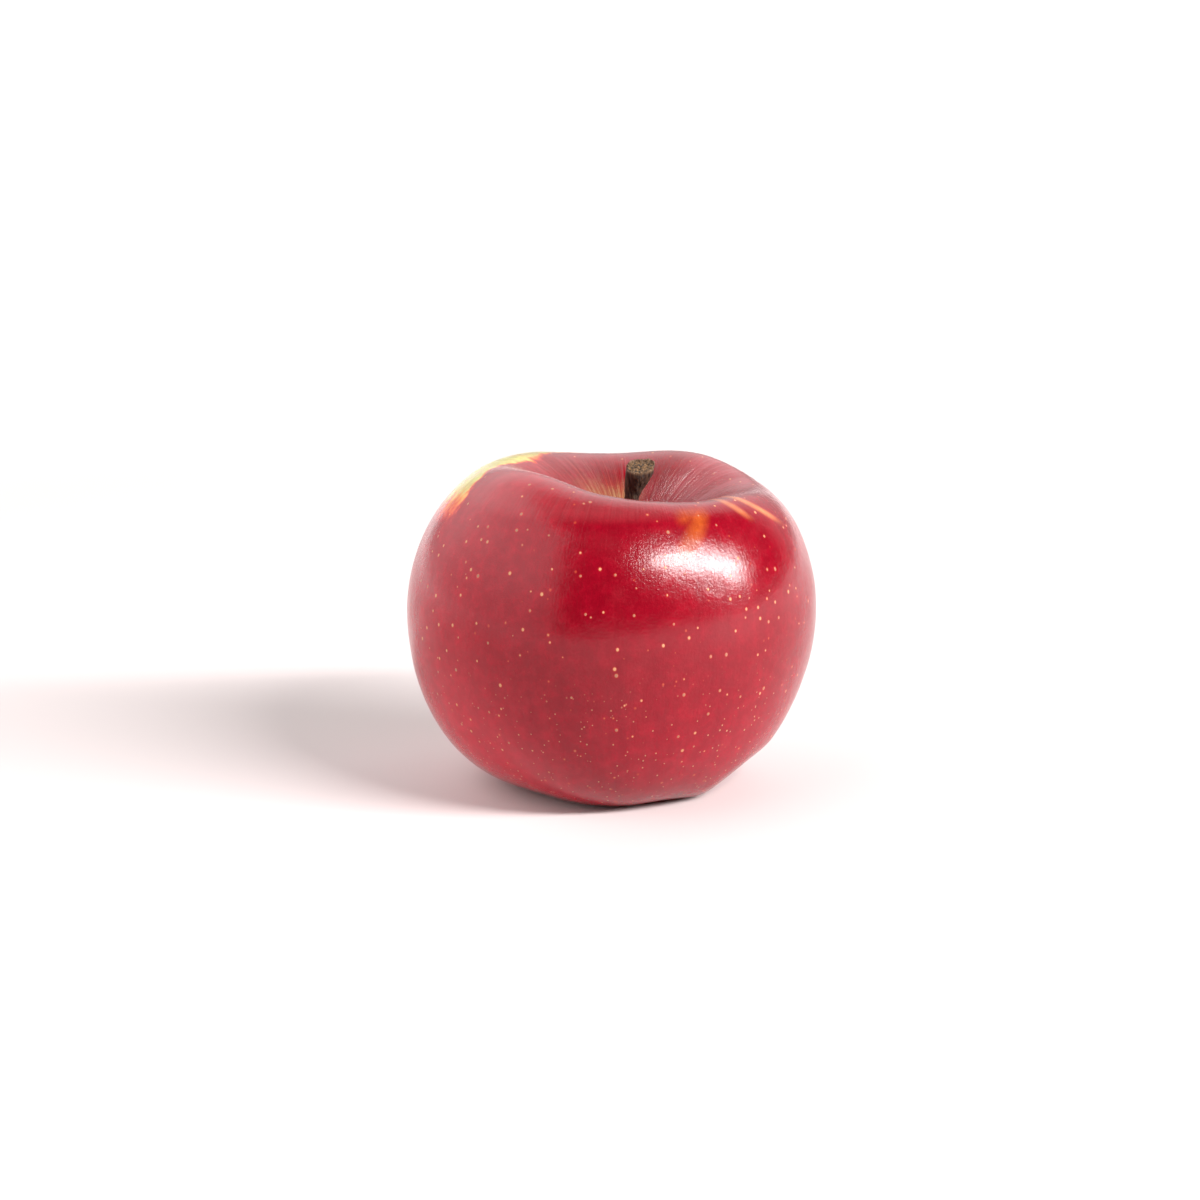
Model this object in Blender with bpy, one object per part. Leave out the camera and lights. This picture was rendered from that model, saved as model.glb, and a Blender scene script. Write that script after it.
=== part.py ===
# An apple as picked: the fruit, its stem, and the dried calyx in the basin at its blossom end.
# Metres, +Z up. The fruit stands on its five base lobes, and the origin lies on the table
# under the middle of the fruit's outline.

import math

import bmesh
import bpy
from mathutils import Vector

# ---- Driving dimensions ----------------------------------------------------------------

# Fruit: the levels and radii that one meridian runs through, from the stem down to the calyx
CHEEK_RADIUS = 0.0393
CHEEK_HEIGHT = 0.0345
FRUIT_HEIGHT = 0.0613
RIM_RADIUS = 0.0240
CAVITY_DEPTH = 0.0150
BASE_RING_RADIUS = 0.0165
BASIN_DEPTH = 0.0090

# How full each bend of the meridian is: 0 is a straight chamfer and 1 a square corner
SHOULDER_FULLNESS = 0.50
UPPER_CHEEK_FULLNESS = 0.48
LOWER_CHEEK_FULLNESS = 0.56
BASE_FULLNESS = 0.42
HEEL_EXTRA_FULLNESS = 0.17
RIM_INNER_FULLNESS = 0.40
CAVITY_THROAT_RADIUS = 0.0052
BASIN_WALL_FULLNESS = 0.45
BASIN_THROAT_RADIUS = 0.0075

# Swells round the fruit: crests in one turn, height of each crest, and the bearing of one crest
CHEEK_SWELLS = ((1, 0.0040, 180.0), (2, 0.0008, 0.0), (3, 0.0007, 15.0))
RIM_SWELLS = ((1, 0.0023, 193.0), (2, 0.0007, 42.0), (3, 0.0004, 80.0), (4, 0.0006, 53.0), (5, 0.0002, -9.0))

# The five base lobes, pressed flat where they touch the table
LOBE_COUNT = 5
LOBE_BEARING = -104.0
LOBE_LIFT = 0.0010
LOBE_PRESS = 0.00015
LOBE_FLAT_WIDTH = 0.0032
BASIN_FOLD = 0.0005

# Stem: a round woody stalk, thick at its root and knobbed at its cut top
STEM_LENGTH = 0.0177
STEM_BEND = 0.0035
STEM_BEARING = -55.0
STEM_ROOT_RADIUS = 0.0015
STEM_WAIST_RADIUS = 0.00125
STEM_KNOB_RADIUS = 0.0026
STEM_KNOB_LENGTH = 0.0018
STEM_KNOB_TAPER = 0.0042
STEM_ROOT_TAPER = 0.0040
STEM_SOCKET_DEPTH = 0.0015

# Calyx: five dried sepals round a tuft of withered stamens
SEPAL_COUNT = 5
SEPAL_LENGTH = 0.0048
SEPAL_WIDTH = 0.0034
SEPAL_THICKNESS = 0.0005
SEPAL_RING_RADIUS = 0.0031
SEPAL_TIP_SHARE = 0.10
SEPAL_TAPER = 1.6
SEPAL_TROUGH = 0.25
SEPAL_FIRST_LEAN = -12.0
SEPAL_CURL = 62.0
STAMEN_TUFT_RADIUS = 0.0014
STAMEN_TUFT_LENGTH = 0.0034
STAMEN_TUFT_TAPER = 0.35

# Clearance between two pieces that touch
FIT_GAP = 0.0003

# Fineness of the faceting. The fruit's rings are those of the cavity, the shoulder, the cheek,
# the lobe flat and the basin.
LOBE_SEGMENTS = 14
STRETCH_RINGS = (11, 10, 12, 1, 8)
SOCKET_SEGMENTS = 24
STEM_RINGS = 14
SEPAL_ROWS = 8
SEPAL_COLUMNS = 4
TUFT_SEGMENTS = 20
TUFT_RINGS = 10
SHARP_ANGLE = 40.0

CAVITY_FLOOR = FRUIT_HEIGHT - CAVITY_DEPTH


# ---- Helpers ---------------------------------------------------------------------------


def bezier(p0, p1, p2, p3, t):
    s = 1.0 - t
    return s * s * s * p0 + 3 * s * s * t * p1 + 3 * s * t * t * p2 + t * t * t * p3


def around(radius, bearing, height):
    return Vector((radius * math.cos(bearing), radius * math.sin(bearing), height))


def swell(swells, bearing):
    total = 0.0
    for crests, height, crest_bearing in swells:
        total += height * math.cos(crests * (bearing - math.radians(crest_bearing)))
    return total


def principled(name, colour, roughness):
    material = bpy.data.materials.new(name)
    material.use_nodes = True
    shader = material.node_tree.nodes["Principled BSDF"]
    shader.inputs["Base Color"].default_value = (*colour, 1.0)
    shader.inputs["Roughness"].default_value = roughness
    shader.inputs["Metallic"].default_value = 0.0
    return material


def add_object(name, data, parent, material):
    thing = bpy.data.objects.new(name, data)
    bpy.context.collection.objects.link(thing)
    thing.parent = parent
    if not data.materials:
        data.materials.append(material)
    return thing


def mesh_from(bm, name):
    mesh = bpy.data.meshes.new(name)
    bm.to_mesh(mesh)
    bm.free()
    mesh.shade_smooth()
    mesh.set_sharp_from_angle(angle=math.radians(SHARP_ANGLE))
    return mesh


# ---- Fruit -----------------------------------------------------------------------------


def meridian_stretches(bearing):
    # The meridian at this bearing as cubic Beziers in (radius, height), from the middle of the
    # cavity floor over the rim, the cheek and the base lobe to the middle of the basin.
    turn = bearing - math.radians(LOBE_BEARING)
    between_lobes = 0.5 - 0.5 * math.cos(LOBE_COUNT * turn)
    cheek = CHEEK_RADIUS + swell(CHEEK_SWELLS, bearing)
    rim = FRUIT_HEIGHT + swell(RIM_SWELLS, bearing)
    base = max(0.0, LOBE_LIFT * between_lobes - LOBE_PRESS)
    heel = BASE_RING_RADIUS + LOBE_FLAT_WIDTH / 2
    brink = BASE_RING_RADIUS - LOBE_FLAT_WIDTH / 2
    base_fullness = BASE_FULLNESS - HEEL_EXTRA_FULLNESS * math.cos(bearing)
    fold = BASIN_FOLD * math.cos(LOBE_COUNT * turn)

    floor_centre = Vector((0.0, CAVITY_FLOOR))
    throat = Vector((CAVITY_THROAT_RADIUS, CAVITY_FLOOR))
    rim_inside = Vector((RIM_RADIUS * (1 - RIM_INNER_FULLNESS), rim))
    rim_top = Vector((RIM_RADIUS, rim))
    shoulder = Vector((RIM_RADIUS + SHOULDER_FULLNESS * (cheek - RIM_RADIUS), rim))
    upper_cheek = Vector((cheek, CHEEK_HEIGHT + UPPER_CHEEK_FULLNESS * (rim - CHEEK_HEIGHT)))
    widest = Vector((cheek, CHEEK_HEIGHT))
    lower_cheek = Vector((cheek, CHEEK_HEIGHT - LOWER_CHEEK_FULLNESS * (CHEEK_HEIGHT - base)))
    underside = Vector((heel + base_fullness * (cheek - heel), base))
    heel_edge = Vector((heel, base))
    brink_edge = Vector((brink, base))
    basin_wall = Vector((brink * (1 - BASIN_WALL_FULLNESS), base - fold))
    basin_throat = Vector((BASIN_THROAT_RADIUS, BASIN_DEPTH))
    basin_centre = Vector((0.0, BASIN_DEPTH))

    return (
        (floor_centre, throat, rim_inside, rim_top),
        (rim_top, shoulder, upper_cheek, widest),
        (widest, lower_cheek, underside, heel_edge),
        (heel_edge, heel_edge.lerp(brink_edge, 1 / 3), heel_edge.lerp(brink_edge, 2 / 3), brink_edge),
        (brink_edge, basin_wall, basin_throat, basin_centre),
    )


def skin_point(bearing, ring):
    # The place of one ring of the faceted fruit, counted from the cavity floor
    for rings, controls in zip(STRETCH_RINGS, meridian_stretches(bearing)):
        if ring <= rings:
            break
        ring -= rings
    radius, height = bezier(*controls, ring / rings)
    return around(radius, bearing, height)


def basin_level(radius):
    # The lowest that the basin's wall comes at this distance from the core line. It is lowest
    # and highest along the lobes and half-way between them.
    levels = []
    for half_lobe in range(2 * LOBE_COUNT):
        bearing = math.radians(LOBE_BEARING + 180.0 * half_lobe / LOBE_COUNT)
        controls = meridian_stretches(bearing)[-1]
        outer = 0.0
        inner = 1.0
        for _ in range(30):
            middle = (outer + inner) / 2
            if bezier(*controls, middle).x > radius:
                outer = middle
            else:
                inner = middle
        levels.append(bezier(*controls, inner).y)
    return min(levels)


def build_fruit(parent):
    # A globe whose poles are the two hollows: each of its rings is drawn out to its place on the fruit
    rings = sum(STRETCH_RINGS)
    bm = bmesh.new()
    bmesh.ops.create_uvsphere(bm, u_segments=LOBE_COUNT * LOBE_SEGMENTS, v_segments=rings, radius=1.0)
    for vert in bm.verts:
        bearing = math.atan2(vert.co.y, vert.co.x) + math.radians(LOBE_BEARING)
        ring = round(rings * math.acos(max(-1.0, min(1.0, vert.co.z))) / math.pi)
        vert.co = skin_point(bearing, ring)
    skin = principled("skin", (0.42, 0.012, 0.035), 0.28)
    fruit = add_object("fruit", mesh_from(bm, "fruit"), parent, skin)
    cut_stem_socket(fruit, parent)
    return fruit


def cut_stem_socket(fruit, parent):
    # The round seat in the cavity floor that the stem's root stands in
    bm = bmesh.new()
    bmesh.ops.create_cone(
        bm,
        cap_ends=True,
        segments=SOCKET_SEGMENTS,
        radius1=STEM_ROOT_RADIUS + FIT_GAP,
        radius2=STEM_ROOT_RADIUS + FIT_GAP,
        depth=2 * (STEM_SOCKET_DEPTH + FIT_GAP),
    )
    cutter = add_object("stem_socket_cutter", mesh_from(bm, "stem_socket"), parent, fruit.active_material)
    cutter.location = (0.0, 0.0, CAVITY_FLOOR)
    cutter.hide_render = True
    cutter.display_type = "WIRE"
    cut = fruit.modifiers.new("stem_socket", "BOOLEAN")
    cut.operation = "DIFFERENCE"
    cut.solver = "EXACT"
    cut.object = cutter


# ---- Stem ------------------------------------------------------------------------------


def stem_radius(along):
    # Waist radius, growing to the root below and to the knob above
    root_part = max(0.0, 1 - along / STEM_ROOT_TAPER)
    knob_part = min(1.0, max(0.0, 1 - (STEM_LENGTH - STEM_KNOB_LENGTH - along) / STEM_KNOB_TAPER))
    knob_part = knob_part * knob_part * (3 - 2 * knob_part)
    root_growth = (STEM_ROOT_RADIUS - STEM_WAIST_RADIUS) * root_part
    return STEM_WAIST_RADIUS + root_growth + (STEM_KNOB_RADIUS - STEM_WAIST_RADIUS) * knob_part


def build_stem(parent):
    curve = bpy.data.curves.new("stem", "CURVE")
    curve.dimensions = "3D"
    curve.bevel_depth = 1.0
    curve.bevel_resolution = 4
    curve.use_fill_caps = True
    spline = curve.splines.new("POLY")
    spline.points.add(STEM_RINGS)
    lean = around(STEM_BEND, math.radians(STEM_BEARING), 0.0)
    for index, point in enumerate(spline.points):
        share = index / STEM_RINGS
        along = -STEM_SOCKET_DEPTH + share * (STEM_LENGTH + STEM_SOCKET_DEPTH)
        bent = max(0.0, along / STEM_LENGTH)
        place = Vector((0.0, 0.0, CAVITY_FLOOR + along)) + lean * bent * bent
        point.co = (*place, 1.0)
        point.radius = stem_radius(max(0.0, along))
    return add_object("stem", curve, parent, principled("stem_wood", (0.085, 0.045, 0.025), 0.8))


# ---- Calyx -----------------------------------------------------------------------------


def sepal_mesh():
    # One dried leaf: wide at its foot, drawn to a point, and curled outwards along its length.
    # Its foot is at the origin, it hangs down -Z, and +X is the outward side.
    bm = bmesh.new()
    bmesh.ops.create_grid(bm, x_segments=SEPAL_COLUMNS, y_segments=SEPAL_ROWS, size=1.0)
    step = SEPAL_LENGTH / SEPAL_ROWS
    spine = [Vector((0.0, 0.0))]
    for row in range(SEPAL_ROWS):
        share = (row + 0.5) / SEPAL_ROWS
        lean = math.radians(SEPAL_FIRST_LEAN + SEPAL_CURL * share * share)
        spine.append(spine[-1] + step * Vector((math.sin(lean), -math.cos(lean))))
    for vert in bm.verts:
        along = (vert.co.y + 1) / 2
        half_width = SEPAL_WIDTH / 2 * (1 - (1 - SEPAL_TIP_SHARE) * along**SEPAL_TAPER)
        trough = SEPAL_TROUGH * half_width * (1 - vert.co.x**2)
        place = spine[round(along * SEPAL_ROWS)]
        vert.co = (place.x + trough, vert.co.x * half_width, place.y)
    bmesh.ops.recalc_face_normals(bm, faces=bm.faces)
    return mesh_from(bm, "sepal")


def build_sepals(parent):
    leaf = sepal_mesh()
    dried = principled("dry_sepal", (0.20, 0.13, 0.08), 0.85)
    foot_corner = math.hypot(SEPAL_RING_RADIUS + SEPAL_THICKNESS, SEPAL_WIDTH / 2)
    foot_level = basin_level(foot_corner) - FIT_GAP - SEPAL_THICKNESS / 2
    for index in range(SEPAL_COUNT):
        sepal = add_object(f"sepal_{index + 1}", leaf, parent, dried)
        bearing = math.radians(LOBE_BEARING + 360.0 * index / SEPAL_COUNT)
        sepal.location = around(SEPAL_RING_RADIUS, bearing, foot_level)
        sepal.rotation_euler = (0.0, 0.0, bearing)
        wall = sepal.modifiers.new("thickness", "SOLIDIFY")
        wall.thickness = SEPAL_THICKNESS
        wall.offset = 0.0


def build_stamens(parent):
    # A globe drawn out into a tuft that hangs from the basin's middle and thins towards its tip
    bm = bmesh.new()
    bmesh.ops.create_uvsphere(bm, u_segments=TUFT_SEGMENTS, v_segments=TUFT_RINGS, radius=1.0)
    for vert in bm.verts:
        down = (1 - vert.co.z) / 2
        girth = STAMEN_TUFT_RADIUS * (1 - STAMEN_TUFT_TAPER * down)
        vert.co = Vector((vert.co.x * girth, vert.co.y * girth, -down * STAMEN_TUFT_LENGTH))
    withered = principled("dry_stamen", (0.10, 0.06, 0.035), 0.9)
    tuft = add_object("stamens", mesh_from(bm, "stamens"), parent, withered)
    tuft.location = (0.0, 0.0, basin_level(STAMEN_TUFT_RADIUS) - FIT_GAP)


# ---- Assembly --------------------------------------------------------------------------


def outline_middle(fruit):
    xs = [vert.co.x for vert in fruit.data.vertices]
    ys = [vert.co.y for vert in fruit.data.vertices]
    return (min(xs) + max(xs)) / 2, (min(ys) + max(ys)) / 2


def build_apple():
    for thing in list(bpy.data.objects):
        bpy.data.objects.remove(thing, do_unlink=True)
    # The empty is the core line, which every piece is placed from
    core_line = bpy.data.objects.new("core_line", None)
    bpy.context.collection.objects.link(core_line)
    fruit = build_fruit(core_line)
    build_stem(core_line)
    build_sepals(core_line)
    build_stamens(core_line)
    middle_x, middle_y = outline_middle(fruit)
    core_line.location = (-middle_x, -middle_y, 0.0)
    bpy.context.view_layer.update()


build_apple()
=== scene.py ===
import math

import bmesh
import bpy
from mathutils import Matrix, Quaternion, Vector


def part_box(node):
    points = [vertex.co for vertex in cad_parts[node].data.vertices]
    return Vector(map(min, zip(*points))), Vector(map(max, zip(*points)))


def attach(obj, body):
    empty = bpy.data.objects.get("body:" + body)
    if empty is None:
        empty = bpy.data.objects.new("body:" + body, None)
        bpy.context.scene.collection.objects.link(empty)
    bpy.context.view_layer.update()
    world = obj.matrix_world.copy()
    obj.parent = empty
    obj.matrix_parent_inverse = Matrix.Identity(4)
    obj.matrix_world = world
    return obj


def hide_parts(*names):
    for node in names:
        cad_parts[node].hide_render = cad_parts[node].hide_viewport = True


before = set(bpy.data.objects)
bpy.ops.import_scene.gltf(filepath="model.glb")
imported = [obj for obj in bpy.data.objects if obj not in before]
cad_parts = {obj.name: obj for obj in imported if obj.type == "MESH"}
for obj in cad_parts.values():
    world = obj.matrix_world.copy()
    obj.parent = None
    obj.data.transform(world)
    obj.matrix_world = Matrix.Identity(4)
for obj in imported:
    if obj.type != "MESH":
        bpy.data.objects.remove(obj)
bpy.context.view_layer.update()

print("frame loaded:", ", ".join(sorted(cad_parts)))

# The stamens sit on the core line, so their box gives its place.
stamensLow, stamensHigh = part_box("stamens")
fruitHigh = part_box("fruit")[1]
coreX = (stamensLow.x + stamensHigh.x) / 2
coreY = (stamensLow.y + stamensHigh.y) / 2


# Small helpers for modelling

def pickOnly(piece):
    if bpy.context.mode != "OBJECT":
        bpy.ops.object.mode_set(mode="OBJECT")
    bpy.ops.object.select_all(action="DESELECT")
    piece.select_set(True)
    bpy.context.view_layer.objects.active = piece


def startEdit(piece, mode="VERT"):
    pickOnly(piece)
    bpy.ops.object.mode_set(mode="EDIT")
    bpy.ops.mesh.select_mode(type=mode)
    bpy.ops.mesh.select_all(action="DESELECT")


def endEdit():
    bpy.ops.object.mode_set(mode="OBJECT")


def selectWhere(piece, kind, test):
    bpy.ops.mesh.select_all(action="DESELECT")
    shape = bmesh.from_edit_mesh(piece.data)
    for item in getattr(shape, kind):
        if test(item):
            item.select_set(True)
    bmesh.update_edit_mesh(piece.data)


def applyModifier(piece, kind, **settings):
    pickOnly(piece)
    bpy.ops.object.modifier_add(type=kind)
    modifier = piece.modifiers[-1]
    for key, value in settings.items():
        setattr(modifier, key, value)
    bpy.ops.object.modifier_apply(modifier=modifier.name)


def smoothBy(piece, degrees):
    pickOnly(piece)
    bpy.ops.object.shade_smooth_by_angle(angle=math.radians(degrees))


def cloudPattern(name, size, depth=1):
    pattern = bpy.data.textures.new(name, "CLOUDS")
    pattern.noise_scale = size
    pattern.noise_depth = depth
    return pattern


def fromCore(place):
    return math.hypot(place.x - coreX, place.y - coreY)


def copyOfNode(nodeName, pieceName):
    # The node's loose triangles are merged into one closed skin.
    piece = bpy.data.objects.new(pieceName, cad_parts[nodeName].data.copy())
    bpy.context.scene.collection.objects.link(piece)
    piece.data.materials.clear()
    pickOnly(piece)
    bpy.ops.mesh.customdata_custom_splitnormals_clear()
    startEdit(piece)
    bpy.ops.mesh.select_all(action="SELECT")
    bpy.ops.mesh.remove_doubles(threshold=0.00001)
    bpy.ops.mesh.tris_convert_to_quads(face_threshold=math.radians(60), shape_threshold=math.radians(70))
    endEdit()
    return piece


# Small helpers for node trees

def feed(tree, socket, value):
    if isinstance(value, bpy.types.NodeSocket):
        tree.links.new(value, socket)
    else:
        socket.default_value = value


def calc(tree, operation, *values):
    node = tree.nodes.new("ShaderNodeMath")
    node.operation = operation
    for socket, value in zip(node.inputs, values):
        feed(tree, socket, value)
    return node.outputs[0]


def vectorCalc(tree, operation, *values):
    node = tree.nodes.new("ShaderNodeVectorMath")
    node.operation = operation
    sockets = [node.inputs[0], node.inputs["Scale"]] if operation == "SCALE" else node.inputs
    for socket, value in zip(sockets, values):
        feed(tree, socket, value)
    return node.outputs["Value" if operation in ("LENGTH", "DOT_PRODUCT") else "Vector"]


def softStep(tree, value, low, high):
    node = tree.nodes.new("ShaderNodeMapRange")
    node.interpolation_type = "SMOOTHSTEP"
    feed(tree, node.inputs["Value"], value)
    feed(tree, node.inputs["From Min"], low)
    feed(tree, node.inputs["From Max"], high)
    return node.outputs["Result"]


def noise(tree, vector, scale, detail, roughness):
    node = tree.nodes.new("ShaderNodeTexNoise")
    feed(tree, node.inputs["Vector"], vector)
    node.inputs["Scale"].default_value = scale
    node.inputs["Detail"].default_value = detail
    node.inputs["Roughness"].default_value = roughness
    return node.outputs["Fac"]


def blendColour(tree, amount, first, second, mode="MIX"):
    node = tree.nodes.new("ShaderNodeMix")
    node.data_type = "RGBA"
    node.blend_type = mode
    feed(tree, node.inputs[0], amount)
    feed(tree, node.inputs[6], first if isinstance(first, bpy.types.NodeSocket) else (*first, 1))
    feed(tree, node.inputs[7], second if isinstance(second, bpy.types.NodeSocket) else (*second, 1))
    return node.outputs[2]


def colourRamp(tree, value, stops):
    node = tree.nodes.new("ShaderNodeValToRGB")
    ramp = node.color_ramp
    while len(ramp.elements) < len(stops):
        ramp.elements.new(0.5)
    for element, (place, colour) in zip(ramp.elements, stops):
        element.position = place
        element.color = (*colour, 1)
    feed(tree, node.inputs["Fac"], value)
    return node.outputs["Color"]


def bump(tree, height, distance):
    node = tree.nodes.new("ShaderNodeBump")
    node.inputs["Distance"].default_value = distance
    feed(tree, node.inputs["Height"], height)
    return node.outputs["Normal"]


def newGroup(name, inputs, outputs):
    group = bpy.data.node_groups.new(name, "ShaderNodeTree")
    for label, kind, value in inputs:
        socket = group.interface.new_socket(label, in_out="INPUT", socket_type="NodeSocket" + kind)
        socket.default_value = value
    for label, kind in outputs:
        group.interface.new_socket(label, in_out="OUTPUT", socket_type="NodeSocket" + kind)
    return group, group.nodes.new("NodeGroupInput").outputs, group.nodes.new("NodeGroupOutput").inputs


def useGroup(tree, group, **values):
    node = tree.nodes.new("ShaderNodeGroup")
    node.node_tree = group
    for label, value in values.items():
        feed(tree, node.inputs[label], value)
    return node.outputs


def newMaterial(name):
    material = bpy.data.materials.new(name)
    material.use_nodes = True
    tree = material.node_tree
    return material, tree, tree.nodes["Principled BSDF"].inputs


def objectPlace(tree, shift=(0, 0, 0)):
    node = tree.nodes.new("ShaderNodeMapping")
    node.inputs["Location"].default_value = shift
    tree.links.new(tree.nodes.new("ShaderNodeTexCoord").outputs["Object"], node.inputs["Vector"])
    return node.outputs["Vector"]


# Shared effects

# Round the core: which way a point lies from it, how far out, and how high
roundCore, given, out = newGroup("roundCore", [("Vector", "Vector", (0, 0, 0))],
                                 [("Around", "Vector"), ("Reach", "Float"), ("Height", "Float")])
flatPlace = vectorCalc(roundCore, "MULTIPLY", given["Vector"], (1, 1, 0))
feed(roundCore, out["Around"], vectorCalc(roundCore, "NORMALIZE", flatPlace))
feed(roundCore, out["Reach"], vectorCalc(roundCore, "LENGTH", flatPlace))
splitPlace = roundCore.nodes.new("ShaderNodeSeparateXYZ")
feed(roundCore, splitPlace.inputs[0], given["Vector"])
feed(roundCore, out["Height"], splitPlace.outputs["Z"])

# Streaks that run up and down: thin round the core, long in height
streaks, given, out = newGroup("streaks", [("Around", "Vector", (0, 0, 0)), ("Height", "Float", 0),
                                           ("Count", "Float", 20), ("Run", "Float", 20)],
                               [("Streak", "Float")])
streakPlace = vectorCalc(streaks, "SCALE", given["Around"], given["Count"])
runPlace = streaks.nodes.new("ShaderNodeCombineXYZ")
feed(streaks, runPlace.inputs["Z"], calc(streaks, "MULTIPLY", given["Height"], given["Run"]))
feed(streaks, out["Streak"],
     noise(streaks, vectorCalc(streaks, "ADD", streakPlace, runPlace.outputs[0]), 1.0, 2.0, 0.55))

# A band down one meridian, which may lean as it goes down
meridianBand, given, out = newGroup(
    "meridianBand",
    [("Around", "Vector", (0, 0, 0)), ("Height", "Float", 0), ("Bearing", "Float", 0), ("Lean", "Float", 0),
     ("Level", "Float", 0), ("Wide", "Float", 0.2), ("Narrow", "Float", 0.1)],
    [("Band", "Float")])
turned = meridianBand.nodes.new("ShaderNodeVectorRotate")
turned.rotation_type = "Z_AXIS"
dropped = calc(meridianBand, "SUBTRACT", given["Level"], given["Height"])
middle = calc(meridianBand, "MULTIPLY_ADD", dropped, given["Lean"], given["Bearing"])
feed(meridianBand, turned.inputs["Vector"], given["Around"])
feed(meridianBand, turned.inputs["Angle"], calc(meridianBand, "MULTIPLY", middle, -1))
turnedParts = meridianBand.nodes.new("ShaderNodeSeparateXYZ")
feed(meridianBand, turnedParts.inputs[0], turned.outputs[0])
offMiddle = calc(meridianBand, "ABSOLUTE", calc(
    meridianBand, "ARCTAN2", turnedParts.outputs["Y"], turnedParts.outputs["X"]))
feed(meridianBand, out["Band"], softStep(meridianBand, offMiddle, given["Wide"], given["Narrow"]))

# Breathing dots: a scattering of small round marks with a pale halo, each with a number of its own
skinDots, given, out = newGroup("skinDots", [("Vector", "Vector", (0, 0, 0)), ("Spacing", "Float", 0.003),
                                             ("Size", "Float", 0.0004), ("Kept", "Float", 0.8)],
                                [("Dot", "Float"), ("Halo", "Float"), ("Tone", "Float")])
cells = skinDots.nodes.new("ShaderNodeTexVoronoi")
feed(skinDots, cells.inputs["Vector"], vectorCalc(skinDots, "MULTIPLY", given["Vector"], (1, 1, 0.85)))
feed(skinDots, cells.inputs["Scale"], calc(skinDots, "DIVIDE", 1.0, given["Spacing"]))
cells.inputs["Randomness"].default_value = 0.95
cellParts = skinDots.nodes.new("ShaderNodeSeparateColor")
feed(skinDots, cellParts.inputs[0], cells.outputs["Color"])
shown = calc(skinDots, "LESS_THAN", cellParts.outputs[0], given["Kept"])
sizeHere = calc(skinDots, "MULTIPLY", calc(skinDots, "DIVIDE", given["Size"], given["Spacing"]),
                calc(skinDots, "MULTIPLY_ADD", cellParts.outputs[1], 0.85, 0.48))
feed(skinDots, out["Dot"], calc(skinDots, "MULTIPLY", shown, softStep(
    skinDots, cells.outputs["Distance"], sizeHere, calc(skinDots, "MULTIPLY", sizeHere, 0.72))))
feed(skinDots, out["Halo"], calc(skinDots, "MULTIPLY", shown, softStep(
    skinDots, cells.outputs["Distance"], calc(skinDots, "MULTIPLY", sizeHere, 1.5), sizeHere)))
feed(skinDots, out["Tone"], cellParts.outputs[2])

# Fibres of dry plant matter, along z
dryFibres, given, out = newGroup("dryFibres", [("Vector", "Vector", (0, 0, 0)), ("Fine", "Float", 4000),
                                               ("Stretch", "Float", 0.12)],
                                 [("Fibre", "Float"), ("Patch", "Float")])
squeezed = dryFibres.nodes.new("ShaderNodeCombineXYZ")
for axis, value in zip("XYZ", (1, 1, given["Stretch"])):
    feed(dryFibres, squeezed.inputs[axis], value)
along = vectorCalc(dryFibres, "MULTIPLY", given["Vector"], squeezed.outputs[0])
feed(dryFibres, out["Fibre"], noise(dryFibres, vectorCalc(
    dryFibres, "SCALE", along, given["Fine"]), 1.0, 3.0, 0.6))
feed(dryFibres, out["Patch"], noise(dryFibres, vectorCalc(
    dryFibres, "SCALE", given["Vector"], calc(dryFibres, "MULTIPLY", given["Fine"], 0.2)), 1.0, 3.0, 0.6))
print("shared effects ready")


# The fruit: the CAD skin, refined, with the little collar that the stem grows out of

fruit = {
    "cavityShare": 0.6,  # the cavity's floor is above this share of the height, less the margin
    "cavityMargin": 0.01,
    "mouthRadius": 0.0031,  # the skin inside this is made again round the stem
    "collar": ((0.0024, 0.00035), (0.0018, 0.00015), (0.0013, -0.0006)),  # radius, and height over the mouth
    "refine": 2,
    "pushOut": 0.6,
    "flatLevel": 0.0004,  # what the fruit rests on, below this, isn't pushed
    "unevenness": (("skinSwell", 0.018, 0.0003), ("skinRipple", 0.0048, 0.00008)),  # size and height
    # Where the skin is drawn, by how much, and how far round about it follows:
    # the heel at the front right is a little slack, and the rim stands prouder at the front.
    "draws": (((0.0235, -0.0080, 0.0020), (-0.0018, 0.0005, 0.0001), 0.010),
              ((0.0060, -0.0200, 0.0608), (0.0, 0.0, 0.0007), 0.012)),
    "grip": 0.002,
}

fruitSkin = copyOfNode("fruit", "fruit_skin")
startEdit(fruitSkin)
cavityLevel = fruitHigh.z * fruit["cavityShare"] - fruit["cavityMargin"]


def nearMouth(vertex, times=1):
    return vertex.co.z > cavityLevel and fromCore(vertex.co) < times * fruit["mouthRadius"]


selectWhere(fruitSkin, "verts", nearMouth)
bpy.ops.mesh.delete(type="VERT")
bpy.ops.mesh.select_all(action="DESELECT")
bpy.ops.mesh.select_non_manifold()
mouth = [vertex.co.copy() for vertex in bmesh.from_edit_mesh(fruitSkin.data).verts if vertex.select]
mouthLevel = sum(place.z for place in mouth) / len(mouth)
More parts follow.
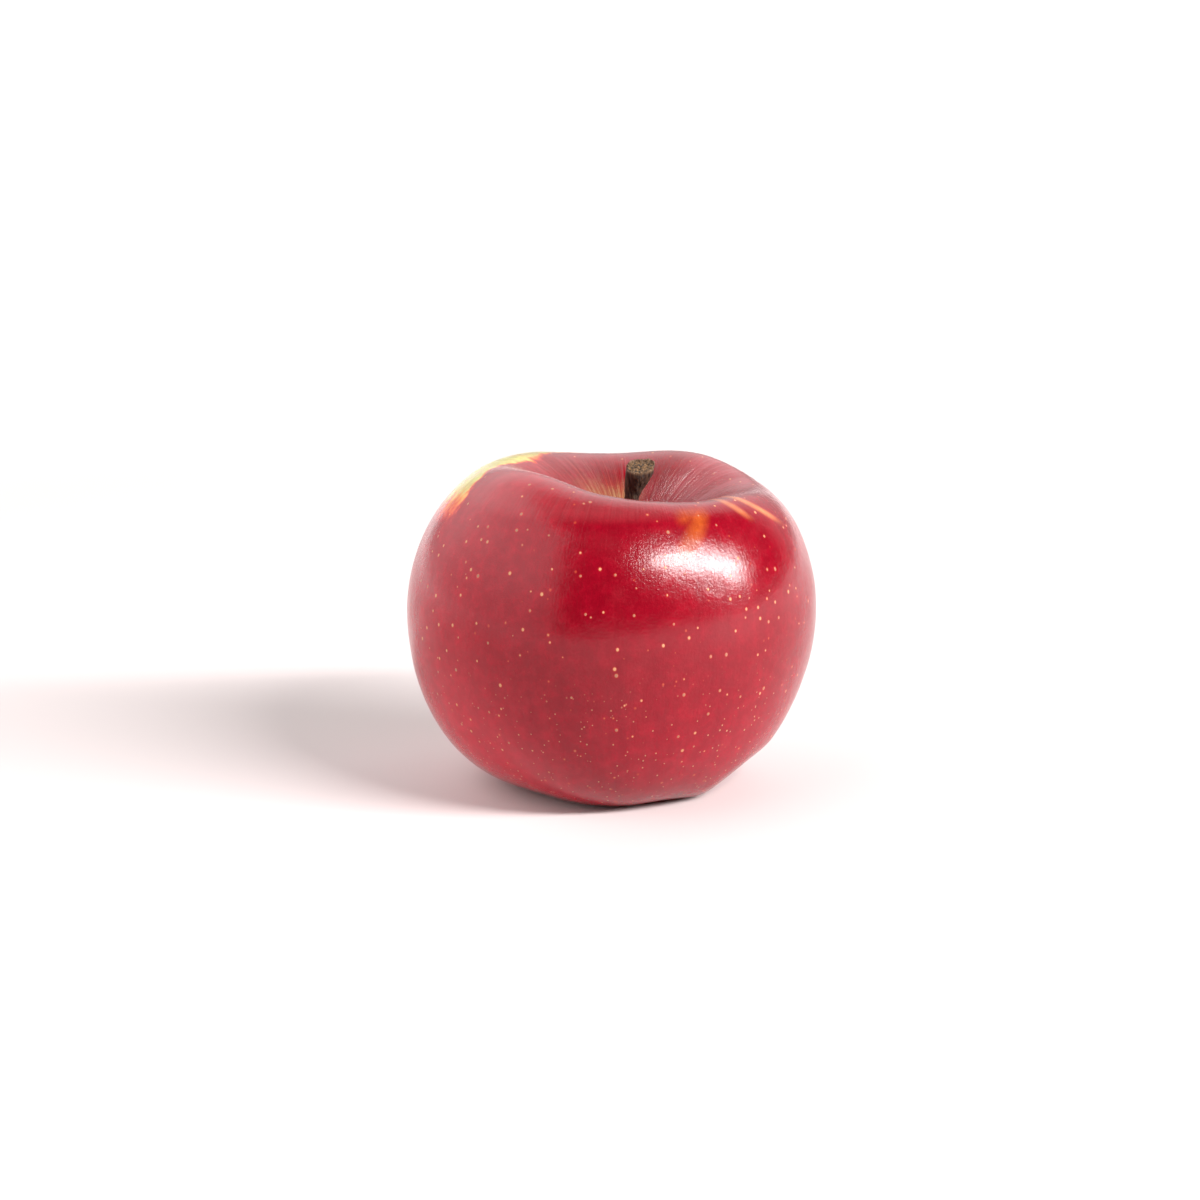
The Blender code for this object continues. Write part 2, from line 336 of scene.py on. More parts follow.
# Refining pulls every ridge in, so it is pushed out by as much first.
selectWhere(fruitSkin, "verts", lambda vertex: vertex.co.z > fruit["flatLevel"] and not nearMouth(vertex, 2))
bpy.ops.mesh.vertices_smooth(factor=-fruit["pushOut"], repeat=1)
bpy.ops.mesh.select_all(action="DESELECT")
bpy.ops.mesh.select_non_manifold()
ringRadius = sum(fromCore(place) for place in mouth) / len(mouth)
ringLevel = mouthLevel
print("mouth ring:", len(mouth), "points, radius", round(ringRadius * 1000, 2), "mm")
for radius, rise in fruit["collar"]:
    bpy.ops.mesh.extrude_edges_move(TRANSFORM_OT_translate={"value": (0, 0, mouthLevel + rise - ringLevel)})
    bpy.ops.transform.resize(value=(radius / ringRadius, radius / ringRadius, 1),
                             center_override=(coreX, coreY, mouthLevel + rise))
    ringRadius, ringLevel = radius, mouthLevel + rise
bpy.ops.mesh.edge_face_add()
bpy.ops.mesh.poke()
bpy.ops.mesh.select_all(action="SELECT")
bpy.ops.mesh.normals_make_consistent(inside=False)
endEdit()

applyModifier(fruitSkin, "SUBSURF", levels=fruit["refine"], render_levels=fruit["refine"])
for name, size, height in fruit["unevenness"]:
    applyModifier(fruitSkin, "DISPLACE", texture=cloudPattern(name, size), strength=height, mid_level=0.5,
                  texture_coords="LOCAL")
startEdit(fruitSkin)
for place, draw, follows in fruit["draws"]:
    gripped = Vector(place)
    selectWhere(fruitSkin, "verts", lambda vertex: (vertex.co - gripped).length < fruit["grip"])
    bpy.ops.transform.translate(value=draw, use_proportional_edit=True, proportional_edit_falloff="SMOOTH",
                                proportional_size=follows)
# What sank below the table is pressed flat onto it.
selectWhere(fruitSkin, "verts", lambda vertex: vertex.co.z < 0)
bpy.ops.transform.resize(value=(1, 1, 0), center_override=(coreX, coreY, 0))
endEdit()
pickOnly(fruitSkin)
bpy.ops.object.shade_smooth()
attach(fruitSkin, "root")
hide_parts("fruit")
print("fruit modelled:", len(fruitSkin.data.polygons), "faces")


# The skin: red blush over yellow ground, with streaks, a bare shoulder, scuffs and breathing dots

skin = {
    "blush": ((0.0, (0.29, 0.23, 0.05)), (0.30, (0.34, 0.225, 0.075)), (0.52, (0.43, 0.115, 0.025)),
              (0.72, (0.36, 0.028, 0.014)), (0.87, (0.205, 0.0020, 0.0085)), (1.0, (0.135, 0.0002, 0.0055))),
    "frontBlush": 0.94,
    "dotColour": (0.54, 0.31, 0.15),
    "dotCore": (0.26, 0.16, 0.10),
    "haloColour": (0.55, 0.09, 0.035),
    "scuffColour": (0.31, 0.050, 0.009),
    "markColour": (0.50, 0.15, 0.055),
    # Pale colour of the painted highlight on the cavity's right wall
    "paintedSheenPink": (0.62, 0.20, 0.22),
    # Milky colour of the bloom, which also serves as painted sheen
    "bloomAndSheenColour": (0.62, 0.27, 0.27),
    "russet": (0.34, 0.22, 0.09),
    "lineColour": (0.52, 0.19, 0.12),
    "bareSide": 148,  # bearing of the bare shoulder, in degrees
    "bareFrom": 0.0214,  # how far out on that bearing it begins
    # Marks: bearing, half width outside and inside, lean in degrees a millimetre, and the level it leans about;
    # then the heights where each begins, is full, is full still, and ends
    "scuff": ((-64.5, 6.6, 0.5, -1.6, 0.0575), (0.0500, 0.0565, 0.0585, 0.0606)),
    "scuffTop": ((-66.5, 8, 1.5, 0, 0), (0.0570, 0.0588, 0.0594, 0.0606)),
    "lineOne": ((-44, 3.2, 0.0, 1.94, 0.0595), (0.0560, 0.0585, 0.0600, 0.0612)),
    "lineTwo": ((-35, 3.4, 0.0, 2.67, 0.0597), (0.0530, 0.0575, 0.0600, 0.0612)),
    # Breathing dots: large and far apart above, small and close below
    "upperDots": {"Spacing": 0.00195, "Size": 0.00025, "Kept": 0.75},
    "lowerDots": {"Spacing": 0.0012, "Size": 0.00016, "Kept": 0.95},
    # How much bloom with painted sheen lies in clouds and along the rim
    "cloudBloomAndSheen": 0.008,
    "rimBloomAndSheen": 0.075,
    "roughness": 0.11,
    "roughnessRange": 0.16,
    "grainHeight": 0.00005,
    "gloss": {"IOR": 1.35, "Coat Weight": 0.12, "Coat Roughness": 0.14},
}


def skinMaterial():
    material, tree, shader = newMaterial("apple_skin")
    place = objectPlace(tree, shift=(-coreX, -coreY, 0))
    where = useGroup(tree, roundCore, Vector=place)
    around, reach, height = where["Around"], where["Reach"], where["Height"]
    parts = tree.nodes.new("ShaderNodeSeparateXYZ")
    feed(tree, parts.inputs[0], place)

    def streak(count, run):
        return useGroup(tree, streaks, Around=around, Height=height, Count=count, Run=run)["Streak"]

    def band(bearing, wide, narrow, lean=0.0, level=0.0):
        return useGroup(tree, meridianBand, Around=around, Height=height, Bearing=math.radians(bearing),
                        Wide=math.radians(wide), Narrow=math.radians(narrow), Lean=math.radians(lean) * 1000,
                        Level=level)["Band"]

    def between(value, low, lowFull, highFull, high):
        rising, falling = softStep(tree, value, low, lowFull), softStep(tree, value, high, highFull)
        return calc(tree, "MULTIPLY", rising, falling)

    def signed(value, amount):
        return calc(tree, "MULTIPLY", calc(tree, "SUBTRACT", value, 0.5), amount)

    def inUpperHalf(value):
        return calc(tree, "MULTIPLY", value, upperHalf)

    def mark(name):
        (bearing, wide, narrow, lean, level), heights = skin[name]
        return calc(tree, "MULTIPLY", band(bearing, wide, narrow, lean, level), between(height, *heights))

    upperHalf = softStep(tree, height, 0.035, 0.045)
    broad, fine, thread = streak(7, 18), streak(30, 30), streak(80, 60)
    mottle = noise(tree, place, 420, 3.0, 0.6)
    speckle = noise(tree, place, 1900, 3.0, 0.65)
    cavity = inUpperHalf(softStep(tree, reach, 0.019, 0.008))

    # Less blush towards the back, and streakier
    topOut = calc(tree, "SUBTRACT", 1.0, inUpperHalf(softStep(tree, reach, 0.031, 0.022)))
    backness = calc(tree, "MULTIPLY", softStep(tree, parts.outputs["Y"], -0.004, 0.028), topOut)
    blush = calc(tree, "ADD", skin["frontBlush"], signed(broad, 0.07))
    blush = calc(tree, "ADD", blush, signed(fine, 0.05))
    blush = calc(tree, "SUBTRACT", blush, calc(tree, "MULTIPLY", backness, calc(
        tree, "ADD", 0.10, calc(tree, "ADD", signed(broad, 0.7), signed(fine, 0.45)))))

    # The bare shoulder, which never saw the sun
    bareWay = (math.cos(math.radians(skin["bareSide"])), math.sin(math.radians(skin["bareSide"])), 0)
    bareSideways = (bareWay[1], -bareWay[0], 0)
    cloudy = noise(tree, place, 110, 3.0, 0.55)
    ragged = calc(tree, "ADD", signed(mottle, 0.002), signed(fine, 0.0013))
    ragged = calc(tree, "ADD", signed(cloudy, 0.006), ragged)
    outward = calc(tree, "ADD", vectorCalc(tree, "DOT_PRODUCT", place, bareWay), ragged)
    across = vectorCalc(tree, "DOT_PRODUCT", place, bareSideways)
    lowEdge = calc(tree, "MULTIPLY_ADD", softStep(tree, parts.outputs["Y"], 0.002, 0.026), -0.030, 0.0545)
    lowEdge = calc(tree, "MULTIPLY_ADD", calc(tree, "POWER", calc(tree, "ABSOLUTE", calc(
        tree, "ADD", across, 0.010)), 2.0), 12.0, lowEdge)
    overEdge = calc(tree, "SUBTRACT", calc(tree, "ADD", height, calc(tree, "MULTIPLY", ragged, 2.5)), lowEdge)
    bare = calc(tree, "MULTIPLY", softStep(tree, outward, skin["bareFrom"] - 0.0010, skin["bareFrom"] + 0.0011),
                softStep(tree, overEdge, -0.006, 0.009))
    bareBlush = calc(tree, "ADD", 0.72, calc(tree, "ADD", signed(broad, 0.45), signed(fine, 0.35)))
    blush = calc(tree, "SUBTRACT", blush, calc(tree, "MULTIPLY", bare, bareBlush))

    # A scuffed orange patch and two thin leaning lines near the front right of the rim
    scuff = calc(tree, "MAXIMUM", mark("scuff"), calc(tree, "MULTIPLY", mark("scuffTop"), 0.65))
    scuff = calc(tree, "MULTIPLY", scuff, calc(tree, "MULTIPLY_ADD", mottle, 0.5, 0.75))
    scuff = calc(tree, "MULTIPLY", scuff, softStep(tree, reach, 0.0212, 0.0232))
    lines = calc(tree, "MAXIMUM", mark("lineOne"), calc(tree, "MULTIPLY", mark("lineTwo"), 1.3))
    lines = calc(tree, "MULTIPLY", calc(tree, "MULTIPLY", lines, 0.62), softStep(tree, reach, 0.0165, 0.0195))

    # Down the stem cavity the ground shows in threads, most of all at its back left
    leftBack = band(118, 62, 20)
    threads = softStep(tree, thread, 0.46, 0.66)
    showing = calc(tree, "MULTIPLY", cavity, calc(tree, "MULTIPLY_ADD", leftBack, 0.10, 0.012))
    showing = calc(tree, "MULTIPLY", showing, calc(tree, "MULTIPLY_ADD", threads, 1.1, 0.35))
    # and in the basin underneath
    basin = calc(tree, "MULTIPLY", softStep(tree, reach, 0.017, 0.007), softStep(tree, height, 0.020, 0.012))
    basin = calc(tree, "MULTIPLY", basin, calc(tree, "MULTIPLY_ADD", fine, 0.7, 0.12))
    blush = calc(tree, "SUBTRACT", calc(tree, "SUBTRACT", blush, showing), basin)

    colour = colourRamp(tree, blush, skin["blush"])
    colour = blendColour(tree, calc(tree, "MULTIPLY", scuff, 0.85), colour, skin["scuffColour"])
    colour = blendColour(tree, lines, colour, skin["markColour"])
    # Paler in mottles and towards the table; the paler left side is painted light.
    mottled = softStep(tree, calc(tree, "ADD", mottle, signed(speckle, 0.5)), 0.35, 0.80)
    colour = blendColour(tree, mottled, colour, (1.28, 1.5, 1.35), "MULTIPLY")
    colour = blendColour(tree, softStep(tree, height, 0.034, 0.004), colour, (1.50, 3.0, 1.9), "MULTIPLY")
    # Painted light: the left side is made paler, standing in for light falling from the left.
    colour = blendColour(tree, band(-165, 66, 12), colour, (1.55, 1.8, 1.55), "MULTIPLY")

    # Russet in the throat round the stem, and in threads behind it
    russet = softStep(tree, calc(tree, "ADD", reach, signed(mottle, 0.006)), 0.0165, 0.0110)
    russet = inUpperHalf(calc(tree, "MULTIPLY", russet, band(110, 42, 8)))
    throat = inUpperHalf(softStep(tree, reach, 0.0075, 0.0035))
    russet = calc(tree, "MULTIPLY", russet, calc(tree, "MULTIPLY_ADD", threads, 0.5, 0.25))
    russet = calc(tree, "MAXIMUM", russet, calc(tree, "MULTIPLY", throat, 0.8))
    colour = blendColour(tree, russet, colour, skin["russet"])
    # Fine pale lines run down the cavity's walls.
    wallLines = softStep(tree, streak(110, 24), 0.44, 0.70)
    wallLines = inUpperHalf(calc(tree, "MULTIPLY", wallLines, softStep(tree, reach, 0.024, 0.016)))
    colour = blendColour(tree, calc(tree, "MULTIPLY", wallLines, 0.14), colour, skin["lineColour"])

    # A thin waxy bloom with painted sheen lies in clouds, and thicker along the rim: the milky colour is partly
    # bloom, partly a painted reflection.
    clouds = calc(tree, "ADD", noise(tree, place, 170, 4.0, 0.6), signed(speckle, 0.25))
    clouds = softStep(tree, clouds, 0.46, 0.72)
    rim = calc(tree, "MULTIPLY", softStep(tree, height, 0.0580, 0.0606), softStep(tree, reach, 0.0150, 0.0190))
    rim = calc(tree, "MULTIPLY", calc(tree, "MULTIPLY_ADD", thread, 1.0, 0.4), rim)
    bloomAndSheen = calc(tree, "MAXIMUM", calc(tree, "MULTIPLY", clouds, skin["cloudBloomAndSheen"]),
                 calc(tree, "MULTIPLY", rim, skin["rimBloomAndSheen"]))
    bloomAndSheen = calc(tree, "MULTIPLY", bloomAndSheen, calc(tree, "SUBTRACT", 1.0, bare))
    colour = blendColour(tree, bloomAndSheen, colour, skin["bloomAndSheenColour"])
    # Painted highlight: the cavity's right wall is made paler and milky in streaks, standing in for the light
    # it reflects.
    paintedSheenWall = calc(tree, "MULTIPLY", band(28, 40, 12), between(reach, 0.0100, 0.0150, 0.0235, 0.0270))
    paintedSheenThreads = calc(tree, "MULTIPLY_ADD", softStep(tree, fine, 0.36, 0.66), 0.13, 0.10)
    paintedSheenWall = inUpperHalf(calc(tree, "MULTIPLY", paintedSheenWall, paintedSheenThreads))
    colour = blendColour(tree, paintedSheenWall, colour, skin["paintedSheenPink"])
    # Painted shade: the wall behind the stem is darkened to the deepest red, standing in for the cavity's shade
    # and its dark reflection.
    paintedShadeBehindStem = calc(tree, "MAXIMUM", band(66, 18, 6), band(103, 15, 5))
    paintedShadeBehindStem = inUpperHalf(calc(tree, "MULTIPLY", paintedShadeBehindStem, between(reach, 0.0125, 0.0155, 0.0200, 0.0225)))
    colour = blendColour(tree, calc(tree, "MULTIPLY", paintedShadeBehindStem, 0.7), colour, (0.90, 0.30, 0.40), "MULTIPLY")

    # The breathing dots, which stay out of the cavity
    elsewhere = vectorCalc(tree, "ADD", place, (0.31, 0.17, 0.23))
    upper = useGroup(tree, skinDots, Vector=place, **skin["upperDots"])
    lower = useGroup(tree, skinDots, Vector=elsewhere, **skin["lowerDots"])
    lowDown = softStep(tree, height, 0.034, 0.012)
    notInCavity = calc(tree, "SUBTRACT", 1.0, inUpperHalf(softStep(tree, reach, 0.0225, 0.0185)))
    dots = calc(tree, "MAXIMUM", calc(tree, "MULTIPLY", upper["Dot"], softStep(tree, height, 0.004, 0.016)),
                calc(tree, "MULTIPLY", lower["Dot"], lowDown))
    dots = calc(tree, "MULTIPLY", dots, notInCavity)
    halo = calc(tree, "MULTIPLY", calc(tree, "MULTIPLY", upper["Halo"], 0.35), notInCavity)
    grey = calc(tree, "MULTIPLY", softStep(tree, upper["Tone"], 0.58, 0.68), upper["Dot"])
    dotColour = blendColour(tree, grey, skin["dotColour"], skin["dotCore"])
    colour = blendColour(tree, halo, colour, skin["haloColour"])
    colour = blendColour(tree, calc(tree, "MULTIPLY", dots, 0.70), colour, dotColour)
    feed(tree, shader["Base Color"], colour)

    rough = calc(tree, "MULTIPLY_ADD", speckle, skin["roughnessRange"], skin["roughness"])
    rough = calc(tree, "ADD", rough, calc(tree, "MULTIPLY", clouds, 0.04))
    rough = calc(tree, "ADD", rough, calc(tree, "MULTIPLY", calc(tree, "MAXIMUM", dots, russet), 0.25))
    feed(tree, shader["Roughness"], rough)
    threadShare = calc(tree, "MULTIPLY_ADD", softStep(tree, height, 0.053, 0.059), 0.8, 0.4)
    grain = calc(tree, "ADD", speckle, calc(tree, "MULTIPLY", thread, threadShare))
    for pattern, share in ((mottle, 1.2), (wallLines, 2.2), (dots, 0.8)):
        grain = calc(tree, "ADD", grain, calc(tree, "MULTIPLY", pattern, share))
    feed(tree, shader["Normal"], bump(tree, grain, skin["grainHeight"]))
    for label, value in skin["gloss"].items():
        shader[label].default_value = value
    return material


fruitSkin.data.materials.append(skinMaterial())
print("skin painted")


# The stem: short, woody, wider at its cut top

stem = {
    "sides": 28,
    "root": 0.0448,
    "firstRise": 0.0008,
    # height over the root, radius, and how far the middle has moved to the right and to the front
    "rings": ((0.0, 0.00150, 0.0, 0.0), (0.0030, 0.00132, 0.00004, 0.0001), (0.0065, 0.00118, 0.0001, 0.0005),
              (0.0095, 0.00114, 0.00022, 0.0010), (0.0120, 0.00124, 0.00030, 0.0014),
              (0.0138, 0.00166, 0.00066, 0.0018), (0.0154, 0.00220, 0.00120, 0.0021),
              (0.0168, 0.00260, 0.00162, 0.0024), (0.0180, 0.00276, 0.00182, 0.0026),
              (0.0188, 0.00278, 0.00190, 0.0027)),
    "cutTilt": 20,  # the cut leans this far to the front
    "barkRim": 0.00028,
    "cutSink": 0.00022,
    "cutRing": 0.0007,
    # Corners of the cut, as shares of its radius to the right and to the back, and how each is drawn out:
    # the back right one most, while the left edge is pinched
    "corners": (((0.75, 0.65), (0.00050, 0.00035, 0.00025)), ((-0.9, 0.1), (0.00020, 0.0, 0.00010)),
                ((0.2, -0.95), (0.0, 0.00020, 0.00005))),
    "cornerGrip": 0.0009,
    "cornerDepth": 0.0018,
    "cornerFollows": 0.0012,
    "cutDepth": 0.0012,  # the cut's faces lie within this of the top
    "ridgeSize": 0.0007,
    "ridgeHeight": 0.00056,
    "ridgeStretch": 7,
    "pitSize": 0.00055,
    "pitDepth": 0.0007,
}

bpy.ops.object.select_all(action="DESELECT")
firstRing, *moreRings = stem["rings"]
bpy.ops.mesh.primitive_cylinder_add(
    vertices=stem["sides"], radius=firstRing[1], depth=stem["firstRise"], end_fill_type="NGON",
    location=(coreX, coreY, stem["root"] + stem["firstRise"] / 2))
stemWood = bpy.context.object
stemWood.name = "stem_wood"
bpy.ops.object.transform_apply(location=True, rotation=True, scale=True)
startEdit(stemWood, "FACE")
selectWhere(stemWood, "faces", lambda face: face.normal.z > 0.9)
middle = Vector((coreX, coreY, stem["root"] + stem["firstRise"]))
radius = firstRing[1]
for rise, nextRadius, right, front in moreRings:
    target = Vector((coreX + right, coreY - front, stem["root"] + rise))
    bpy.ops.mesh.extrude_region_move(TRANSFORM_OT_translate={"value": target - middle})
    bpy.ops.transform.resize(value=(nextRadius / radius, nextRadius / radius, 1), center_override=target)
    middle, radius = target, nextRadius
# The cut leans to the front, and sinks inside its rim of bark.
bpy.ops.transform.rotate(value=-math.radians(stem["cutTilt"]), orient_axis="X", center_override=middle)
bpy.ops.mesh.inset(thickness=stem["barkRim"], depth=0.0)
bpy.ops.mesh.inset(thickness=stem["barkRim"] * 0.5, depth=-stem["cutSink"])
bpy.ops.mesh.inset(thickness=stem["cutRing"], depth=0.0)
bpy.ops.mesh.inset(thickness=stem["cutRing"], depth=stem["cutSink"] * 0.6)
bpy.ops.mesh.poke()
topLevel = middle.z
for way, draw in stem["corners"]:
    corner = Vector((middle.x + way[0] * radius, middle.y + way[1] * radius))
    selectWhere(stemWood, "verts", lambda vertex: vertex.co.z > topLevel - stem["cornerDepth"]
                and (vertex.co.xy - corner).length < stem["cornerGrip"])
    bpy.ops.transform.translate(value=draw, use_proportional_edit=True, proportional_edit_falloff="SMOOTH",
                                proportional_size=stem["cornerFollows"])
# The cut face is kept apart from the bark, for its own finish.
stemWood.data.materials.append(None)
stemWood.data.materials.append(None)


def inCut(face):
    centre = face.calc_center_median()
    return (centre.z > topLevel - stem["cutDepth"] and face.normal.z > 0.5
            and (centre - middle).length < radius - stem["barkRim"] * 0.7)


selectWhere(stemWood, "faces", inCut)
stemWood.active_material_index = 1
bpy.ops.object.material_slot_assign()
for groupName in ("cut", "bark"):
    bpy.ops.object.vertex_group_add()
    stemWood.vertex_groups.active.name = groupName
    bpy.ops.object.vertex_group_assign()
    bpy.ops.mesh.select_all(action="INVERT")
bpy.ops.mesh.select_all(action="SELECT")
bpy.ops.mesh.normals_make_consistent(inside=False)
endEdit()

applyModifier(stemWood, "SUBSURF", levels=3, render_levels=3)
# The bark's ridges are drawn out along the stem.
bpy.ops.object.select_all(action="DESELECT")
bpy.ops.object.empty_add(location=(0, 0, 0))
grainGuide = bpy.context.object
grainGuide.scale = (1, 1, stem["ridgeStretch"])
bpy.context.view_layer.update()
applyModifier(stemWood, "DISPLACE", texture=cloudPattern("barkRidges", stem["ridgeSize"], 2),
              strength=stem["ridgeHeight"], mid_level=0.5, texture_coords="OBJECT",
              texture_coords_object=grainGuide, vertex_group="bark")
bpy.data.objects.remove(grainGuide)
applyModifier(stemWood, "DISPLACE", texture=cloudPattern("cutPits", stem["pitSize"]), strength=stem["pitDepth"],
              mid_level=0.6, texture_coords="LOCAL", vertex_group="cut")
smoothBy(stemWood, 50)
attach(stemWood, "root")
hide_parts("stem")
print("stem modelled:", len(stemWood.data.polygons), "faces")


# Bark and cut wood

bark = {
    "dark": (0.012, 0.004, 0.002),
    "brown": (0.050, 0.017, 0.006),
    "worn": (0.17, 0.090, 0.042),
    "lichen": (0.055, 0.034, 0.014),
}


def barkMaterial():
    material, tree, shader = newMaterial("stem_bark")
    place = objectPlace(tree)
    fibres = useGroup(tree, dryFibres, Vector=place, Fine=3200, Stretch=0.12)
    colour = colourRamp(tree, fibres["Fibre"],
                        ((0.38, bark["dark"]), (0.58, bark["brown"]), (0.73, bark["worn"])))
    lichen = calc(tree, "MULTIPLY", softStep(tree, fibres["Patch"], 0.56, 0.72), 0.45)
    colour = blendColour(tree, lichen, colour, bark["lichen"])
    # Worn pale where the bark meets the cut
    parts = tree.nodes.new("ShaderNodeSeparateXYZ")
    feed(tree, parts.inputs[0], place)
    leaning = calc(tree, "MULTIPLY_ADD", calc(tree, "SUBTRACT", parts.outputs["Y"], middle.y),
                   -math.tan(math.radians(stem["cutTilt"])), parts.outputs["Z"])
    uneven = calc(tree, "MULTIPLY", calc(tree, "SUBTRACT", fibres["Patch"], 0.5), 0.0009)
    rim = softStep(tree, calc(tree, "ADD", leaning, uneven), topLevel - 0.0007, topLevel + 0.0001)
    colour = blendColour(tree, calc(tree, "MULTIPLY", rim, 0.7), colour, bark["worn"])
    feed(tree, shader["Base Color"], colour)
    feed(tree, shader["Roughness"], calc(tree, "MULTIPLY_ADD", fibres["Fibre"], 0.3, 0.55))
    feed(tree, shader["Normal"], bump(tree, fibres["Fibre"], 0.00025))
    return material


cutWood = {
    "pale": (0.23, 0.118, 0.045),
    "tan": (0.095, 0.045, 0.017),
    "pit": (0.012, 0.006, 0.003),
}


def cutWoodMaterial():
    material, tree, shader = newMaterial("stem_cut_wood")
    place = objectPlace(tree)
    fibres = useGroup(tree, dryFibres, Vector=place, Fine=2300, Stretch=1.0)
    colour = colourRamp(tree, fibres["Fibre"],
                        ((0.40, cutWood["pit"]), (0.50, cutWood["tan"]), (0.66, cutWood["pale"])))
    feed(tree, shader["Base Color"], colour)
    feed(tree, shader["Roughness"], calc(tree, "MULTIPLY_ADD", fibres["Patch"], 0.2, 0.7))
    feed(tree, shader["Normal"], bump(tree, fibres["Fibre"], 0.0003))
    return material


stemWood.data.materials[0] = barkMaterial()
stemWood.data.materials[1] = cutWoodMaterial()
print("stem painted")


# The dry flower underneath: five curled sepals and a tuft of stamens

sepal = {
    "foot": 0.0004,  # this much of its root is drawn up into the skin
    "buried": 0.0007,
    "follows": 0.0006,
    "wrinkleSize": 0.0011,
    "wrinkleHeight": 0.00035,
    "colours": ((0.30, (0.075, 0.042, 0.024)), (0.52, (0.20, 0.125, 0.07)), (0.75, (0.36, 0.27, 0.16))),
}


def drySepalMaterial():
    material, tree, shader = newMaterial("dry_sepal")
    place = objectPlace(tree)
    fibres = useGroup(tree, dryFibres, Vector=place, Fine=2600, Stretch=0.25)
    feed(tree, shader["Base Color"], colourRamp(tree, fibres["Fibre"], sepal["colours"]))
    feed(tree, shader["Roughness"], calc(tree, "MULTIPLY_ADD", fibres["Patch"], 0.25, 0.6))
    feed(tree, shader["Normal"], bump(tree, fibres["Fibre"], 0.0002))
    return material


sepalFinish = drySepalMaterial()
wrinklePattern = cloudPattern("sepalWrinkles", sepal["wrinkleSize"])
for number in range(1, 6):
    leaf = copyOfNode(f"sepal_{number}", f"sepal_leaf_{number}")
    startEdit(leaf)
    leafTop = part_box(f"sepal_{number}")[1].z
    selectWhere(leaf, "verts", lambda vertex: vertex.co.z > leafTop - sepal["foot"])
    bpy.ops.transform.translate(value=(0, 0, sepal["buried"]), use_proportional_edit=True,
                                proportional_edit_falloff="SMOOTH", proportional_size=sepal["follows"])
    endEdit()
    applyModifier(leaf, "SUBSURF", levels=2, render_levels=2)
    applyModifier(leaf, "DISPLACE", texture=wrinklePattern, strength=sepal["wrinkleHeight"], mid_level=0.5,
                  texture_coords="LOCAL")
    smoothBy(leaf, 60)
    leaf.data.materials.append(sepalFinish)
    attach(leaf, "root")
    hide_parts(f"sepal_{number}")
print("sepals modelled")

stamen = {
    "circles": ((0.0002, 4), (0.0006, 8)),  # how far out they stand, and how many
    "thickness": 0.00013,
    "buried": 0.0005,
    "firstDrop": 0.0003,
    # how far down, how thick, and how far it has swayed outwards
    "shape": ((0.0015, 0.00011, 0.00008), (0.0023, 0.00010, 0.00022), (0.0028, 0.00010, 0.00036),
              (0.0029, 0.00020, 0.00039), (0.0032, 0.00026, 0.00045), (0.0035, 0.00014, 0.00050)),
    "colours": ((0.35, (0.030, 0.017, 0.010)), (0.60, (0.12, 0.07, 0.035)), (0.80, (0.24, 0.16, 0.09))),
}


def dryStamenMaterial():
    material, tree, shader = newMaterial("dry_stamen")
    fibres = useGroup(tree, dryFibres, Vector=objectPlace(tree), Fine=3000, Stretch=0.3)
    feed(tree, shader["Base Color"], colourRamp(tree, fibres["Fibre"], stamen["colours"]))
    feed(tree, shader["Roughness"], calc(tree, "MULTIPLY_ADD", fibres["Patch"], 0.2, 0.65))
    feed(tree, shader["Normal"], bump(tree, fibres["Fibre"], 0.0001))
    return material


# One thread hangs down from the basin's roof and ends in a dry swollen tip.
bpy.ops.object.select_all(action="DESELECT")
threadTop = stamensHigh.z + stamen["buried"]
bpy.ops.mesh.primitive_cylinder_add(
    vertices=8, radius=stamen["thickness"], depth=stamen["firstDrop"], end_fill_type="NGON",
    location=(coreX, coreY, threadTop - stamen["firstDrop"] / 2))
firstThread = bpy.context.object
firstThread.name = "stamen_thread"
bpy.ops.object.transform_apply(location=True, rotation=True, scale=True)
startEdit(firstThread, "FACE")
selectWhere(firstThread, "faces", lambda face: face.normal.z < -0.9)
level, width, reached = threadTop - stamen["firstDrop"], stamen["thickness"], 0.0
for drop, nextWidth, sway in stamen["shape"]:
    bpy.ops.mesh.extrude_region_move(
        TRANSFORM_OT_translate={"value": (sway - reached, 0, threadTop - drop - level)})
    level, reached = threadTop - drop, sway
    bpy.ops.transform.resize(value=(nextWidth / width, nextWidth / width, 1),
                             center_override=(coreX + sway, coreY, level))
    width = nextWidth
endEdit()

# The copies stand in two circles, each a little uneven in place, length and turn.
threads = []
for ringRoot, count in stamen["circles"]:
    for step in range(count):
        pickOnly(firstThread)
        bpy.ops.object.duplicate()
        threads.append(bpy.context.object)
        startEdit(threads[-1])
        bpy.ops.mesh.select_all(action="SELECT")
        bpy.ops.transform.translate(value=(ringRoot * (1 + 0.15 * math.sin(5.7 * step)), 0, 0))
        uneven = 1 + 0.12 * math.sin(2.3 * step + 400 * ringRoot)
        bpy.ops.transform.resize(value=(1, 1, uneven), center_override=(coreX, coreY, threadTop))
        bpy.ops.transform.rotate(value=math.tau * step / count + 0.3 * math.sin(3.1 * step + 900 * ringRoot),
                                 orient_axis="Z", center_override=(coreX, coreY, threadTop))
        endEdit()
bpy.data.objects.remove(firstThread)
pickOnly(threads[0])
for thread in threads:
    thread.select_set(True)
bpy.ops.object.join()
stamenTuft = threads[0]
stamenTuft.name = "stamen_tuft"
smoothBy(stamenTuft, 60)
stamenTuft.data.materials.append(dryStamenMaterial())
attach(stamenTuft, "root")
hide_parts("stamens")
print("stamens modelled:", len(threads), "threads")


# The table, which runs out into plain white

table = {
    "size": 12.0,
    "colour": (0.64, 0.57, 0.562),
    "whiteFrom": 0.28,
    "whiteAt": 0.65,
}

